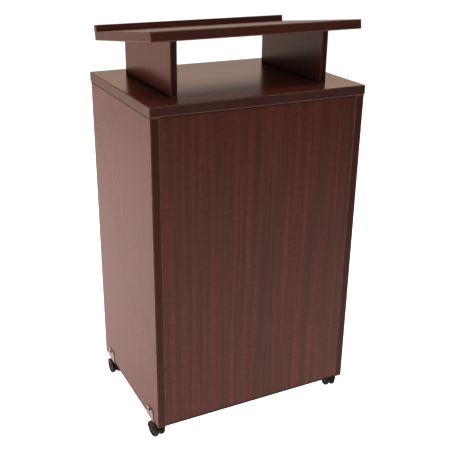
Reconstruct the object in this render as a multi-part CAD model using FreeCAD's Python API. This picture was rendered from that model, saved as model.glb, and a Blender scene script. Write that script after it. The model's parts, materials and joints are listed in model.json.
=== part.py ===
"""Mobile lectern podium: a laminated cabinet with an open back, a raised sloping reading board and four casters.

Millimetres. X runs along the audience front (left is -X), Y from the audience to the presenter, Z up.
The origin is on the floor, at the centre of the footprint.
"""
import FreeCAD, Part
import math
import os

from FreeCAD import Rotation, Vector

# ---- driving dimensions -------------------------------------------------------------------------
top_width = 610.0
top_depth = 453.0
top_thickness = 26.0
cabinet_bottom = 56.0             # floor to the lower edges of the panels
cabinet_height = 902.0            # lower edges of the panels to the upper face of the top
top_overhang = 2.0
side_thickness = 24.0
board_thickness = 18.0            # front, bottom, shelf and uprights
front_recess = 1.0                # front panel behind the edges of the side panels
bottom_lift = 40.0                # underside of the bottom panel above the panels' lower edges
shelf_height = 470.0              # underside of the shelf above the panels' lower edges

desk_width = 581.0
desk_depth = 419.0
desk_thickness = 24.0
desk_tilt = 7.7                   # degrees, falling towards the presenter
desk_front_height = 1069.0        # lower edges of the panels to the front upper edge of the board
desk_setback = 21.0               # that edge behind the front of the top
stop_thickness = 20.0
stop_height = 17.0                # above the board
stop_seat = 0.5                   # depth of the stop's seat in the board

upright_inset = 82.5              # outer face of an upright from the end of the top
upright_depth = 318.0

top_band = 3.0                    # moulded edge strip round the top and the reading board
panel_band = 2.0                  # edge strip on the other panels
band_round = 2.4

pivot_from_end = 60.0             # caster pivot from the front or back of the top
wheel_radius = 22.5
wheel_inner_face = 5.2            # from the middle of the caster
wheel_outer_face = 15.2
wheel_trail = 11.0                # axle behind the pivot
fork_half_thickness = 4.8
axle_radius = 3.0
running_clearance = 0.05
stem_pin_radius = 3.0             # smooth lower end of the stem, in the caster
stem_radius = 4.0                 # threaded upper end
stem_foot = 30.0                  # floor to the end of the stem's bore
# direction in which each wheel pair trails, turned from +Y about +Z, in degrees
caster_headings = {
    "front_left": 190.0,
    "front_right": 170.0,
    "rear_left": 2.0,
    "rear_right": -2.0,
}

# ---- positions that follow ----------------------------------------------------------------------
half_width = top_width / 2
half_depth = top_depth / 2
top_upper = cabinet_bottom + cabinet_height
top_lower = top_upper - top_thickness
side_outer = half_width - top_overhang
side_inner = side_outer - side_thickness
side_middle = (side_outer + side_inner) / 2
panel_front = -half_depth + top_overhang
panel_back = half_depth - top_overhang
front_outer = panel_front + front_recess
front_inner = front_outer + board_thickness
bottom_lower = cabinet_bottom + bottom_lift
bottom_upper = bottom_lower + board_thickness
shelf_lower = cabinet_bottom + shelf_height
shelf_clearance = 1.0
shelf_front = front_inner + 5.0
shelf_back = panel_back - 8.0
upright_outer = half_width - upright_inset
upright_inner = upright_outer - board_thickness
upright_middle = (upright_outer + upright_inner) / 2
pivot_y = half_depth - pivot_from_end

# ---- fittings -----------------------------------------------------------------------------------
cam_radius = 7.5
cam_setback = 34.0                # cam centre from the joint
cam_past_middle = 5.5             # cam depth past the middle of the panel
cam_drive_radius = 2.4
cam_drive_depth = 2.0
bolt_bore_radius = 4.0
bolt_thread_radius = 2.5
bolt_thread_length = 11.0
bolt_shank_radius = 3.0
bolt_head_radius = 3.5
bolt_head_length = 5.0
dowel_radius = 4.0
slim_dowel_radius = 3.0           # in the uprights
dowel_grip = 12.0                 # dowel depth in each of its two panels
dowel_chamfer = 0.8
# positions of the fittings: along Y from the middle, heights from the floor, along X from the middle
top_cams_y = (-140.0, 140.0)
top_dowels_y = (-190.0, 190.0)
front_cams_z = (150.0, 500.0, 850.0)
bottom_cams_y = (-130.0, 130.0)
bottom_dowels_y = (-170.0, 170.0)
upright_screws_y = (-110.0, 110.0)
upright_foot_dowels_y = (-40.0, 40.0)
upright_head_dowels_y = (-120.0, 0.0, 120.0)
stop_screws_x = (-240.0, -120.0, 0.0, 120.0, 240.0)
pin_hole_radius = 2.5
pin_hole_depth = 10.0
pin_reach = 8.0                   # under the shelf
pin_collar_radius = 4.0
pin_collar_length = 0.8
pin_hole_pitch = 32.0
pin_rows = 9
pin_columns_y = (-150.0, 150.0)

bracket_sheet = 2.0
bracket_web = 2.5
bracket_width_bottom = 52.0
bracket_width_top = 44.0
bracket_height = 33.0
bracket_corner = 5.0
bracket_fold = 2.0
bracket_bolt_height = 26.5
bracket_bolt_radius = 2.5
bracket_nut_corner = 4.6          # middle to corner of the hexagon
bracket_nut_height = 4.0
stem_collar_radius = 8.0
stem_collar_height = 2.4
stem_thread_length = 11.5
stem_nut_corner = 7.3
stem_nut_height = 6.5
nut_pocket_radius = 7.5
nut_pocket_depth = 13.0

seam_turn = 37.0                  # degrees that the seam of a round bore is turned about its axis
past_everything = 200.0           # half size of a cutting block that must reach past a small part

X_AXIS = Vector(1, 0, 0)
Y_AXIS = Vector(0, 1, 0)
Z_AXIS = Vector(0, 0, 1)


# ---- shared shapes ------------------------------------------------------------------------------
def block(x_low, x_high, y_low, y_high, z_low, z_high):
    """A rectangular block between two corners."""
    return Part.makeBox(x_high - x_low, y_high - y_low, z_high - z_low, Vector(x_low, y_low, z_low))


def rod(start, direction, radius, length):
    """A round rod from a point along a direction, its seam turned away from where crossing bores meet."""
    cylinder = Part.makeCylinder(radius, length, start, direction)
    return cylinder.rotate(start, direction, seam_turn)


def cut_all(solid, cutters):
    """The solid with every cutter taken away."""
    return solid.cut(cutters) if cutters else solid


def edges_along(shape, direction, test=lambda point: True):
    """The straight edges that run along a direction and whose middle passes a test."""
    found = []
    for edge in shape.Edges:
        if len(edge.Vertexes) != 2:
            continue
        run = edge.Vertexes[1].Point - edge.Vertexes[0].Point
        if run.Length > 0 and abs(run.normalize().dot(direction)) > 0.999 and test(edge.CenterOfMass):
            found.append(edge)
    return found


def edge_strip(x_low, x_high, y_low, y_high, z_low, z_high, outward):
    """An edge strip with its two long outer edges rounded; outward is +1 or -1 along Y."""
    strip = block(x_low, x_high, y_low, y_high, z_low, z_high)
    outer_y = y_high if outward > 0 else y_low
    long_axis = Z_AXIS if z_high - z_low > x_high - x_low else X_AXIS
    long_edges = edges_along(strip, long_axis, lambda point: abs(point.y - outer_y) < 0.01)
    return strip.makeFillet(panel_band * 0.6, long_edges)


def banded_slab(width, y_low, y_high, z_low, z_high):
    """The core of a slab and the moulded strip that runs right round it, as two solids."""
    half = width / 2
    outer = block(-half, half, y_low, y_high, z_low, z_high)
    outer = outer.makeFillet(top_band, edges_along(outer, Z_AXIS))
    rims = [edge for edge in outer.Edges
            if abs(edge.BoundBox.ZMin - edge.BoundBox.ZMax) < 0.01]
    outer = outer.makeFillet(band_round, rims)
    core = block(-half + top_band, half - top_band, y_low + top_band, y_high - top_band, z_low, z_high)
    return core, outer.cut(core)


# ---- joints between panels ----------------------------------------------------------------------
class Fittings:
    """Collects the small fittings, and the bores that they need in each panel."""

    def __init__(self):
        self.solids = {}
        self.bores = {}

    def add(self, node, solid):
        self.solids.setdefault(node, []).append(solid)

    def bore(self, panel, cutter):
        self.bores.setdefault(panel, []).append(cutter)

    def cam_joint(self, panel, mate, joint, towards, face, thickness):
        """A cam in the panel's face pulls a bolt that is screwed into the mate.

        joint is where the bolt crosses from panel to mate, towards points into the mate and
        face is the outward normal of the panel's face that the cam is set in.
        """
        centre = joint - towards * cam_setback
        depth = thickness / 2 + cam_past_middle
        mouth = centre + face * (thickness / 2)
        housing = rod(mouth, face * -1, cam_radius, depth)
        drive = rod(mouth, face * -1, cam_drive_radius, cam_drive_depth)
        tunnel = rod(centre - towards * (bolt_head_length / 2), towards, bolt_bore_radius, cam_radius * 2)
        self.add("cam_housings", cut_all(housing, [drive, tunnel]))
        head_start = centre - towards * (bolt_head_length / 2 - 0.5)
        bolt = rod(head_start, towards, bolt_head_radius, bolt_head_length)
        neck = rod(head_start, towards, bolt_shank_radius, cam_setback + bolt_head_length / 2 - 0.5)
        thread = rod(joint, towards, bolt_thread_radius, bolt_thread_length)
        self.add("cam_bolts", bolt.fuse([neck, thread]).removeSplitter())
        self.bore(panel, rod(mouth, face * -1, cam_radius, depth))
        self.bore(panel, rod(centre, towards, bolt_bore_radius, cam_setback))
        self.bore(mate, thread)

    def dowel_joint(self, panel, mate, joint, towards, radius=dowel_radius, grip=dowel_grip):
        """A wooden dowel glued half into each of two panels."""
        dowel = rod(joint - towards * grip, towards, radius, grip * 2)
        ends = [edge for edge in dowel.Edges if len(edge.Vertexes) == 1]
        self.add("dowels", dowel.makeChamfer(dowel_chamfer, ends))
        # where the panels meet on a slope, one bore passes the joint on one side of the dowel
        self.bore(panel, dowel)
        self.bore(mate, dowel)


fittings = Fittings()
sides = {"left": -1, "right": 1}


def panel_joints():
    """Cams, bolts and dowels of the cabinet."""
    for side, sign in sides.items():
        panel = f"{side}_side_panel"
        inward = X_AXIS * -sign
        outward = X_AXIS * sign
        for y in top_cams_y:
            fittings.cam_joint(panel, "top_slab", Vector(sign * side_middle, y, top_lower), Z_AXIS,
                               inward, side_thickness)
        for y in top_dowels_y:
            fittings.dowel_joint(panel, "top_slab", Vector(sign * side_middle, y, top_lower), Z_AXIS)
        front_middle = (front_outer + front_inner) / 2
        for z in front_cams_z:
            fittings.cam_joint("front_panel", panel, Vector(sign * side_inner, front_middle, z), outward,
                               Y_AXIS, board_thickness)
        bottom_middle = (bottom_lower + bottom_upper) / 2
        for y in bottom_cams_y:
            fittings.cam_joint("bottom_panel", panel, Vector(sign * side_inner, y, bottom_middle), outward,
                               Z_AXIS * -1, board_thickness)
        for y in bottom_dowels_y:
            fittings.dowel_joint("bottom_panel", panel, Vector(sign * side_inner, y, bottom_middle), outward)


def upright_joints():
    """Screws up into the uprights from inside the cabinet, and dowels from them into the board."""
    head_radius = 5.0
    head_depth = 6.0
    shank_radius = 2.5
    shank_length = 50.0
    drive_radius = 2.0
    drive_depth = 3.0
    for side, sign in sides.items():
        upright = f"{side}_upright"
        x = sign * upright_middle
        for y in upright_screws_y:
            start = Vector(x, y, top_lower)
            head = rod(start, Z_AXIS, head_radius, head_depth)
            shank = rod(start, Z_AXIS, shank_radius, head_depth + shank_length)
            drive = rod(start, Z_AXIS, drive_radius, drive_depth)
            fittings.add("upright_screws", head.fuse(shank).cut(drive).removeSplitter())
            fittings.bore("top_slab", head)
            fittings.bore("top_slab", rod(start, Z_AXIS, shank_radius, top_thickness))
            fittings.bore(upright, shank)
        for y in upright_foot_dowels_y:
            joint = Vector(x, y, top_upper)
            fittings.dowel_joint(upright, "top_slab", joint, Z_AXIS * -1, slim_dowel_radius)
        for y in upright_head_dowels_y:
            joint = Vector(x, y, board_underside(y))
            fittings.dowel_joint(upright, "reading_board", joint, Z_AXIS, slim_dowel_radius)


def stop_screws():
    """Countersunk screws up through the reading board into the book stop."""
    head_radius = 4.0
    head_depth = 3.0
    shank_radius = 2.0
    grip = 12.0
    drive_radius = 1.4
    drive_depth = 2.0
    for x in stop_screws_x:
        start = Vector(x, desk_depth - stop_thickness / 2, -desk_thickness)
        head = Part.makeCone(head_radius, shank_radius, head_depth, start, Z_AXIS)
        shank = rod(start, Z_AXIS, shank_radius, desk_thickness + grip)
        drive = rod(start, Z_AXIS, drive_radius, drive_depth)
        screw = head.fuse(shank).cut(drive).removeSplitter()
        fittings.add("book_stop_screws", on_desk(screw))
        fittings.bore("reading_board", on_desk(head.fuse(shank)))
        fittings.bore("book_stop", on_desk(shank))


def shelf_supports():
    """Line-bored holes in the side panels, and a pin under each corner of the shelf."""
    middle_row = pin_rows // 2
    for side, sign in sides.items():
        for y in pin_columns_y:
            for row in range(pin_rows):
                z = shelf_lower - pin_hole_radius + (row - middle_row) * pin_hole_pitch
                mouth = Vector(sign * side_inner, y, z)
                hole = rod(mouth, X_AXIS * sign, pin_hole_radius, pin_hole_depth)
                fittings.bore(f"{side}_side_panel", hole)
                if row == middle_row:
                    inward = X_AXIS * -sign
                    peg = rod(mouth + inward * pin_reach, inward * -1, pin_hole_radius,
                              pin_reach + pin_hole_depth - 1)
                    collar = rod(mouth, inward, pin_collar_radius, pin_collar_length)
                    fittings.add("shelf_pins", peg.fuse(collar).removeSplitter())


# ---- reading desk -------------------------------------------------------------------------------
desk_origin = Vector(0, -half_depth + desk_setback, cabinet_bottom + desk_front_height)
desk_placement = FreeCAD.Placement(desk_origin, Rotation(X_AXIS, -desk_tilt))


def on_desk(shape):
    """A shape drawn on the level board, moved to the sloping one."""
    placed = shape.copy()
    placed.Placement = desk_placement.multiply(placed.Placement)
    return placed


def board_underside(y):
    """Height of the underside of the sloping board at a depth y."""
    slope = math.radians(desk_tilt)
    drop = (y - desk_origin.y) * math.tan(slope)
    return desk_origin.z - desk_thickness / math.cos(slope) - drop


def upright_slice(sign, y_low, y_high):
    """The part of an upright between two depths, with its head cut to the slope of the board."""
    outline = [(y_low, top_upper), (y_high, top_upper), (y_high, board_underside(y_high)),
               (y_low, board_underside(y_low))]
    x = min(sign * upright_outer, sign * upright_inner)
    points = [Vector(x, y, z) for y, z in outline]
    face = Part.Face(Part.makePolygon(points + points[:1]))
    return face.extrude(X_AXIS * board_thickness)


def make_desk(nodes):
    """The reading board, its edge strip, the book stop and the two uprights."""
    stop_round = 1.5
    stop = block(-desk_width / 2, desk_width / 2, desk_depth - stop_thickness, desk_depth,
                 -stop_seat, stop_height)
    core, band = banded_slab(desk_width, 0, desk_depth, -desk_thickness, 0)
    nodes["reading_board"] = on_desk(core.cut(stop))
    nodes["reading_board_edge_band"] = on_desk(band.cut(stop))
    rounded = edges_along(stop, X_AXIS, lambda point: point.z > stop_height / 2)
    rounded += edges_along(stop, Y_AXIS, lambda point: point.z > stop_height / 2)
    nodes["book_stop"] = on_desk(stop.makeFillet(stop_round, rounded))
    reach = upright_depth / 2
    for side, sign in sides.items():
        nodes[f"{side}_upright"] = upright_slice(sign, -reach + panel_band, reach - panel_band)
        strips = []
        for low, high, outer in ((-reach, -reach + panel_band, -reach), (reach - panel_band, reach, reach)):
            strip = upright_slice(sign, low, high)
            corners = edges_along(strip, Z_AXIS, lambda point: abs(point.y - outer) < 0.01)
            strips.append(strip.makeFillet(panel_band * 0.6, corners))
        nodes[f"{side}_upright_edge_bands"] = Part.makeCompound(strips)


# ---- cabinet ------------------------------------------------------------------------------------
def make_cabinet(nodes):
    """The top, sides, front, bottom and shelf, each with its edge strips."""
    core, band = banded_slab(top_width, -half_depth, half_depth, top_lower, top_upper)
    nodes["top_slab"] = core
    nodes["top_slab_edge_band"] = band
    for side, sign in sides.items():
        x_low = min(sign * side_outer, sign * side_inner)
        x_high = x_low + side_thickness
        nodes[f"{side}_side_panel"] = block(x_low, x_high, panel_front + panel_band,
                                            panel_back - panel_band, cabinet_bottom, top_lower)
        strips = [
            edge_strip(x_low, x_high, panel_front, panel_front + panel_band, cabinet_bottom, top_lower, -1),
            edge_strip(x_low, x_high, panel_back - panel_band, panel_back, cabinet_bottom, top_lower, 1),
        ]
        nodes[f"{side}_side_edge_bands"] = Part.makeCompound(strips)
    nodes["front_panel"] = block(-side_inner, side_inner, front_outer, front_inner, cabinet_bottom, top_lower)
    nodes["bottom_panel"] = block(-side_inner, side_inner, front_inner, panel_back - panel_band,
                                  bottom_lower, bottom_upper)
    nodes["bottom_panel_edge_band"] = edge_strip(-side_inner, side_inner, panel_back - panel_band,
                                                 panel_back, bottom_lower, bottom_upper, 1)
    shelf_half = side_inner - shelf_clearance
    # the shelf stops short of each side, which leaves room for the collars of its pins
    nodes["shelf"] = block(-shelf_half, shelf_half, shelf_front, shelf_back - panel_band,
                           shelf_lower, shelf_lower + board_thickness)
    nodes["shelf_edge_band"] = edge_strip(-shelf_half, shelf_half, shelf_back - panel_band, shelf_back,
                                          shelf_lower, shelf_lower + board_thickness, 1)


# ---- casters ------------------------------------------------------------------------------------
def caster_place(corner):
    """Where a caster's pivot meets the floor, and the turn of its wheels."""
    x = side_middle * (1 if corner.endswith("right") else -1)
    y = pivot_y * (1 if corner.startswith("rear") else -1)
    return FreeCAD.Placement(Vector(x, y, 0), Rotation(Z_AXIS, caster_headings[corner]))


def placed_at(shape, placement):
    """A copy of a shape moved by a placement."""
    moved = shape.copy()
    moved.Placement = placement.multiply(moved.Placement)
    return moved


def make_wheel(sign):
    """One wheel of a pair, on the +X or the -X side of the caster, dished on its outer face."""
    inner = wheel_inner_face
    outer = wheel_outer_face
    tread_round = 2.5
    dish_radius = 17.5
    dish_depth = 2.2
    dish_slope = 1.5
    hub_radius = 8.0
    hub_recess = 0.4
    inner_chamfer = 1.0
    axle_cover = 1.6              # wall between the end of the axle and the outer face
    # half section: distance from the middle of the caster, and distance from the axle
    before_round = Vector(outer - tread_round, 0, wheel_radius)
    after_round = Vector(outer, 0, wheel_radius - tread_round)
    bend = tread_round * (1 - math.sqrt(0.5))
    round_middle = Vector(outer - bend, 0, wheel_radius - bend)
    dish_floor = outer - dish_depth
    hub_face = outer - hub_recess
    corners = [after_round, Vector(outer, 0, dish_radius), Vector(dish_floor, 0, dish_radius - dish_slope),
               Vector(dish_floor, 0, hub_radius + dish_slope), Vector(hub_face, 0, hub_radius),
               Vector(hub_face, 0, 0), Vector(inner, 0, 0), Vector(inner, 0, wheel_radius - inner_chamfer),
               Vector(inner + inner_chamfer, 0, wheel_radius), before_round]
    edges = [Part.LineSegment(a, b).toShape() for a, b in zip(corners, corners[1:])]
    edges.append(Part.Arc(before_round, round_middle, after_round).toShape())
    section = Part.Face(Part.Wire(Part.__sortEdges__(edges)))
    wheel = section.revolve(Vector(0, 0, 0), X_AXIS, 360)
    bore_end = outer - axle_cover
    wheel = wheel.cut(rod(Vector(inner, 0, 0), X_AXIS, axle_radius + running_clearance, bore_end - inner))
    if sign < 0:
        wheel = wheel.mirror(Vector(0, 0, 0), X_AXIS)
    wheel.translate(Vector(0, wheel_trail, wheel_radius))
    return wheel


def make_caster_body():
    """The middle web between the wheels, the boss round the stem and the hood over both wheels."""
    hood_gap = 0.7
    hood_wall = 1.7
    hood_end_gap = 0.3
    hood_inner = wheel_radius + hood_gap
    hood_outer = hood_inner + hood_wall
    hood_half = wheel_outer_face + hood_end_gap
    trailing_edge = wheel_radius + 8.0    # lower edges of the hood, behind the axle and before it
    leading_edge = wheel_radius - 4.0
    web_radius = 18.0
    boss_radius = 9.0
    boss_gap = 0.4                        # under the collar of the stem
    boss_top = cabinet_bottom - bracket_web - stem_collar_height - boss_gap
    far = past_everything
    half = fork_half_thickness
    axle = Vector(0, wheel_trail, wheel_radius)

    hood = rod(axle - X_AXIS * hood_half, X_AXIS, hood_outer, hood_half * 2)
    hood = hood.cut(rod(axle - X_AXIS * hood_half, X_AXIS, hood_inner, hood_half * 2))
    below_trailing = block(-far, far, axle.y, far, -far, trailing_edge)
    below_leading = block(-far, far, -far, axle.y, -far, leading_edge)
    hood = cut_all(hood, [below_trailing, below_leading])
    web = rod(axle - X_AXIS * half, X_AXIS, web_radius, half * 2)
    # between the wheels the web reaches out to the hood
    fill = rod(axle - X_AXIS * half, X_AXIS, hood_inner + hood_wall / 2, half * 2)
    fill = cut_all(fill, [below_trailing, below_leading])
    boss = rod(Vector(0, 0, wheel_radius), Z_AXIS, boss_radius, boss_top - wheel_radius)
    wheel_space = rod(axle - X_AXIS * far, X_AXIS, hood_inner, far * 2)
    wheel_space = wheel_space.cut(block(-half, half, -far, far, -far, far))
    boss = boss.cut(wheel_space)
    body = hood.fuse([web, fill, boss]).removeSplitter()
    stem_bore = rod(Vector(0, 0, stem_foot), Z_AXIS, stem_pin_radius + running_clearance, boss_top)
    axle_bore = rod(axle - X_AXIS * half, X_AXIS, axle_radius, half * 2)
    return cut_all(body, [stem_bore, axle_bore])


def make_stem():
    """Stem: a smooth pin in the caster, a collar under the bracket and a threaded end above it."""
    end_gap = 0.5
    collar_top = cabinet_bottom - bracket_web
    collar_base = Vector(0, 0, collar_top - stem_collar_height)
    pin = rod(Vector(0, 0, stem_foot + end_gap), Z_AXIS, stem_pin_radius, collar_top - stem_foot - end_gap)
    collar = rod(collar_base, Z_AXIS, stem_collar_radius, stem_collar_height)
    thread = rod(Vector(0, 0, collar_top), Z_AXIS, stem_radius, stem_thread_length)
    return pin.fuse([collar, thread]).removeSplitter()


def hexagon_nut(base, axis, across, corner_radius, height, bore_radius):
    """A nut that stands on base along axis, with one of its corners towards across."""
    corners = [base + Rotation(axis, angle).multVec(across) * corner_radius for angle in range(0, 361, 60)]
    prism = Part.Face(Part.makePolygon(corners)).extrude(axis * height)
    return prism.cut(rod(base, axis, bore_radius, height))


def make_stem_nut():
    """Hexagon nut on the stem's thread, in a pocket in the lower edge of the side panel."""
    base = Vector(0, 0, cabinet_bottom)
    return hexagon_nut(base, Z_AXIS, X_AXIS, stem_nut_corner, stem_nut_height, stem_radius)


def make_bracket():
    """Folded steel saddle over the lower edge of a side panel, drawn with its pivot at the origin."""
    def flange(x_low):
        low = bracket_width_bottom / 2
        high = bracket_width_top / 2
        base = cabinet_bottom - bracket_web
        rim = cabinet_bottom + bracket_height
        points = [Vector(x_low, -low, base), Vector(x_low, low, base), Vector(x_low, high, rim),
                  Vector(x_low, -high, rim)]
        plate = Part.Face(Part.makePolygon(points + points[:1])).extrude(X_AXIS * bracket_sheet)
        upper_corners = edges_along(plate, X_AXIS, lambda point: point.z > cabinet_bottom)
        return plate.makeFillet(bracket_corner, upper_corners)

    half = side_thickness / 2
    outer = flange(-half - bracket_sheet)
    inner = flange(half)
    reach = bracket_width_bottom / 2
    web = block(-half - bracket_sheet, half + bracket_sheet, -reach, reach,
                cabinet_bottom - bracket_web, cabinet_bottom)
    saddle = outer.fuse([inner, web]).removeSplitter()
    folds = edges_along(saddle, Y_AXIS, lambda point: point.z < cabinet_bottom - bracket_web + 0.1)
    saddle = saddle.makeFillet(bracket_fold, folds)
    bolt_hole = rod(Vector(-past_everything, 0, cabinet_bottom + bracket_bolt_height), X_AXIS,
                    bracket_bolt_radius, past_everything * 2)
    stem_hole = rod(Vector(0, 0, cabinet_bottom - bracket_web), Z_AXIS, stem_radius, bracket_web)
    return cut_all(saddle, [bolt_hole, stem_hole])


def bracket_bolt(sign):
    """Round-headed bolt through the saddle and the panel, head outside, with a cross in its head."""
    head_ball_radius = 6.0
    head_ball_depth = 3.2         # middle of the ball below the face of the bracket
    cross_half_length = 2.4
    cross_half_width = 0.5
    cross_floor = 1.4             # above the face of the bracket
    past_nut = 1.0
    far = past_everything
    outer = side_thickness / 2 + bracket_sheet
    height = cabinet_bottom + bracket_bolt_height
    # drawn with the head towards +X, then turned for the other side
    start = Vector(outer, 0, height)
    shank = rod(start, X_AXIS * -1, bracket_bolt_radius, outer * 2 + bracket_nut_height + past_nut)
    head = Part.makeSphere(head_ball_radius, start - X_AXIS * head_ball_depth)
    head = head.common(block(outer, far, -far, far, -far, far))
    for half_y, half_z in ((cross_half_length, cross_half_width), (cross_half_width, cross_half_length)):
        head = head.cut(block(outer + cross_floor, far, -half_y, half_y, height - half_z, height + half_z))
    bolt = shank.fuse(head).removeSplitter()
    if sign < 0:
        bolt.rotate(Vector(0, 0, 0), Z_AXIS, 180)
    return bolt


def bracket_nut(sign):
    """Hexagon nut on the inner end of the bracket's bolt."""
    inner = side_thickness / 2 + bracket_sheet
    base = Vector(-sign * inner, 0, cabinet_bottom + bracket_bolt_height)
    return hexagon_nut(base, X_AXIS * -sign, Y_AXIS, bracket_nut_corner, bracket_nut_height,
                       bracket_bolt_radius)


def make_casters(nodes):
    """Four casters, each a body, an axle and two wheels, with its bracket, stem, bolt and nuts."""
    for corner in caster_headings:
        place = caster_place(corner)
        upright_place = FreeCAD.Placement(place.Base, Rotation())
        sign = 1 if place.Base.x > 0 else -1
        side = "right" if sign > 0 else "left"
        nodes[f"{corner}_caster_body"] = placed_at(make_caster_body(), place)
        axle_reach = wheel_outer_face - 2.0
        axle = rod(Vector(-axle_reach, wheel_trail, wheel_radius), X_AXIS, axle_radius, axle_reach * 2)
        nodes[f"{corner}_axle"] = placed_at(axle, place)
        facing = math.cos(math.radians(caster_headings[corner]))
        for wheel_sign in (-1, 1):
            which = "outer" if wheel_sign * facing * sign > 0 else "inner"
            nodes[f"{corner}_{which}_wheel"] = placed_at(make_wheel(wheel_sign), place)
        nodes[f"{corner}_bracket"] = placed_at(make_bracket(), upright_place)
        fittings.add("caster_stems", placed_at(make_stem(), upright_place))
        fittings.add("stem_nuts", placed_at(make_stem_nut(), upright_place))
        fittings.add("bracket_bolts", placed_at(bracket_bolt(sign), upright_place))
        fittings.add("bracket_nuts", placed_at(bracket_nut(sign), upright_place))
        mouth = Vector(place.Base.x, place.Base.y, cabinet_bottom)
        pocket = rod(mouth, Z_AXIS, nut_pocket_radius, nut_pocket_depth)
        fittings.bore(f"{side}_side_panel", pocket)
        hole = rod(Vector(-half_width * sign, place.Base.y, cabinet_bottom + bracket_bolt_height),
                   X_AXIS * sign, bracket_bolt_radius, top_width)
        fittings.bore(f"{side}_side_panel", hole)


# ---- build --------------------------------------------------------------------------------------
def build():
    """Every node of the lectern by name."""
    nodes = {}
    make_cabinet(nodes)
    make_desk(nodes)
    panel_joints()
    upright_joints()
    stop_screws()
    shelf_supports()
    make_casters(nodes)
    for panel, cutters in fittings.bores.items():
        nodes[panel] = cut_all(nodes[panel], cutters)
    for node, solids in fittings.solids.items():
        nodes[node] = Part.makeCompound(solids)
    return nodes


os.makedirs("parts", exist_ok=True)
for name, shape in build().items():
    shape.exportStep(f"parts/{name}.step")
    box = shape.BoundBox
    print(f"{name:30s} solids {len(shape.Solids):3d} valid {shape.isValid()} volume {shape.Volume:12.0f} "
          f"z {box.ZMin:7.1f} to {box.ZMax:7.1f}")
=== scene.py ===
"""Looks of a mobile lectern podium: laminate, edge strips, fittings, casters and a plain studio."""
import json
import math

import bmesh
import bpy
from bpy.props import FloatProperty, FloatVectorProperty, IntProperty, PointerProperty
from mathutils import Matrix, Vector


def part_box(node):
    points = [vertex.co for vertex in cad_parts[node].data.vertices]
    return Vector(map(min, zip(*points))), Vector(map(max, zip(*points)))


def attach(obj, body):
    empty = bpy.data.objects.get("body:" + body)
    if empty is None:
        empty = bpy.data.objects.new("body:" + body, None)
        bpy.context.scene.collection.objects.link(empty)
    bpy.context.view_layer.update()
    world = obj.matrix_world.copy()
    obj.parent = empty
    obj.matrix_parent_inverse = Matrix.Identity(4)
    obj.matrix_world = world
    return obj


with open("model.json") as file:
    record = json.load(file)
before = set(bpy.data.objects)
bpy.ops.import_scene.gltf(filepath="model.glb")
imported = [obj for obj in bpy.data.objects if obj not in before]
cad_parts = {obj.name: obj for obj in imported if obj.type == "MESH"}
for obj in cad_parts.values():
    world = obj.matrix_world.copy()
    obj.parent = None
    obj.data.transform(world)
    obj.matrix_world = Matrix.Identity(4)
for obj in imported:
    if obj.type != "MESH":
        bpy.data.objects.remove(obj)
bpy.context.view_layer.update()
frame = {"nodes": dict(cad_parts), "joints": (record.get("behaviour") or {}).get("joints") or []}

bl_info = {
    "name": "Lectern Podium",
    "version": (1, 0, 0),
    "blender": (4, 5, 0),
    "location": "3D View > Sidebar > Lectern",
    "description": "Finishes, small trim and studio of a mobile lectern podium",
    "category": "Object",
}

CORNERS = ("front_left", "front_right", "rear_left", "rear_right")
DESK_TILT = math.radians(7.7)
X_AXIS, Z_AXIS = 0, 2
# panels by the direction in which their printed grain runs
UPRIGHT_GRAIN = ("left_side_panel", "right_side_panel", "front_panel", "left_upright", "right_upright")
LEVEL_GRAIN = ("top_slab", "bottom_panel", "shelf")
DESK_GRAIN = ("reading_board", "book_stop")
# how strongly a panel is figured, where it isn't fully
CALM_FIGURE = {"left_side_panel": 0.16, "right_side_panel": 0.16,
               "left_upright": 0.25, "right_upright": 0.25}
# layers of the grain: noise cells across it in a ribbon's width, cells along it in a metre, then the
# noise's detail, roughness and distortion
GRAIN = (
    (0.45, 0.7, 2.0, 0.5, 0.0),      # broad bands
    (1.7, 1.1, 3.0, 0.6, 0.0),       # ribbons
    (1.2, 1.6, 2.0, 0.5, 0.0),       # lighter and darker stretches
    (9.0, 4.0, 3.0, 0.6, 0.0),       # fine lines
    (6.0, 90.0, 2.0, 0.5, 0.0),      # flecks
    (1.1, 125.0, 2.0, 0.5, 0.4),     # ripple across the ribbons
)
GRAIN_WANDER = 0.012                 # metres that the grain strays from straight
PORES_ACROSS, PORES_ALONG = 2600.0, 120.0    # noise cells in a metre
HUB_REACH = 0.0082                   # metres from the axle to the edge of a wheel's hub face
SAME_FACE = 0.0002                   # metres within which a cam's face lies in a panel's face
UPRIGHT_STRIPS = ("left_side_edge_bands", "right_side_edge_bands", "left_upright_edge_bands",
                  "right_upright_edge_bands")
LEVEL_STRIPS = ("top_slab_edge_band", "bottom_panel_edge_band", "shelf_edge_band")
DESK_STRIPS = ("reading_board_edge_band",)


# ---- sizes and colours --------------------------------------------------------------------------
def colour(name, description, default):
    """A colour property, linear red, green and blue."""
    return FloatVectorProperty(name=name, description=description, default=default, subtype="COLOR",
                               min=0.0, max=1.0)


def length(name, description, default):
    """A length property in metres."""
    return FloatProperty(name=name, description=description, default=default, unit="LENGTH", min=0.0,
                         precision=4)


def factor(name, description, default):
    """A property between 0 and 1."""
    return FloatProperty(name=name, description=description, default=default, subtype="FACTOR", min=0.0,
                         max=1.0)


def brightness(name, description, default):
    """The brightness of a light's face, where 1 is white."""
    return FloatProperty(name=name, description=description, default=default, min=0.0)


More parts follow.
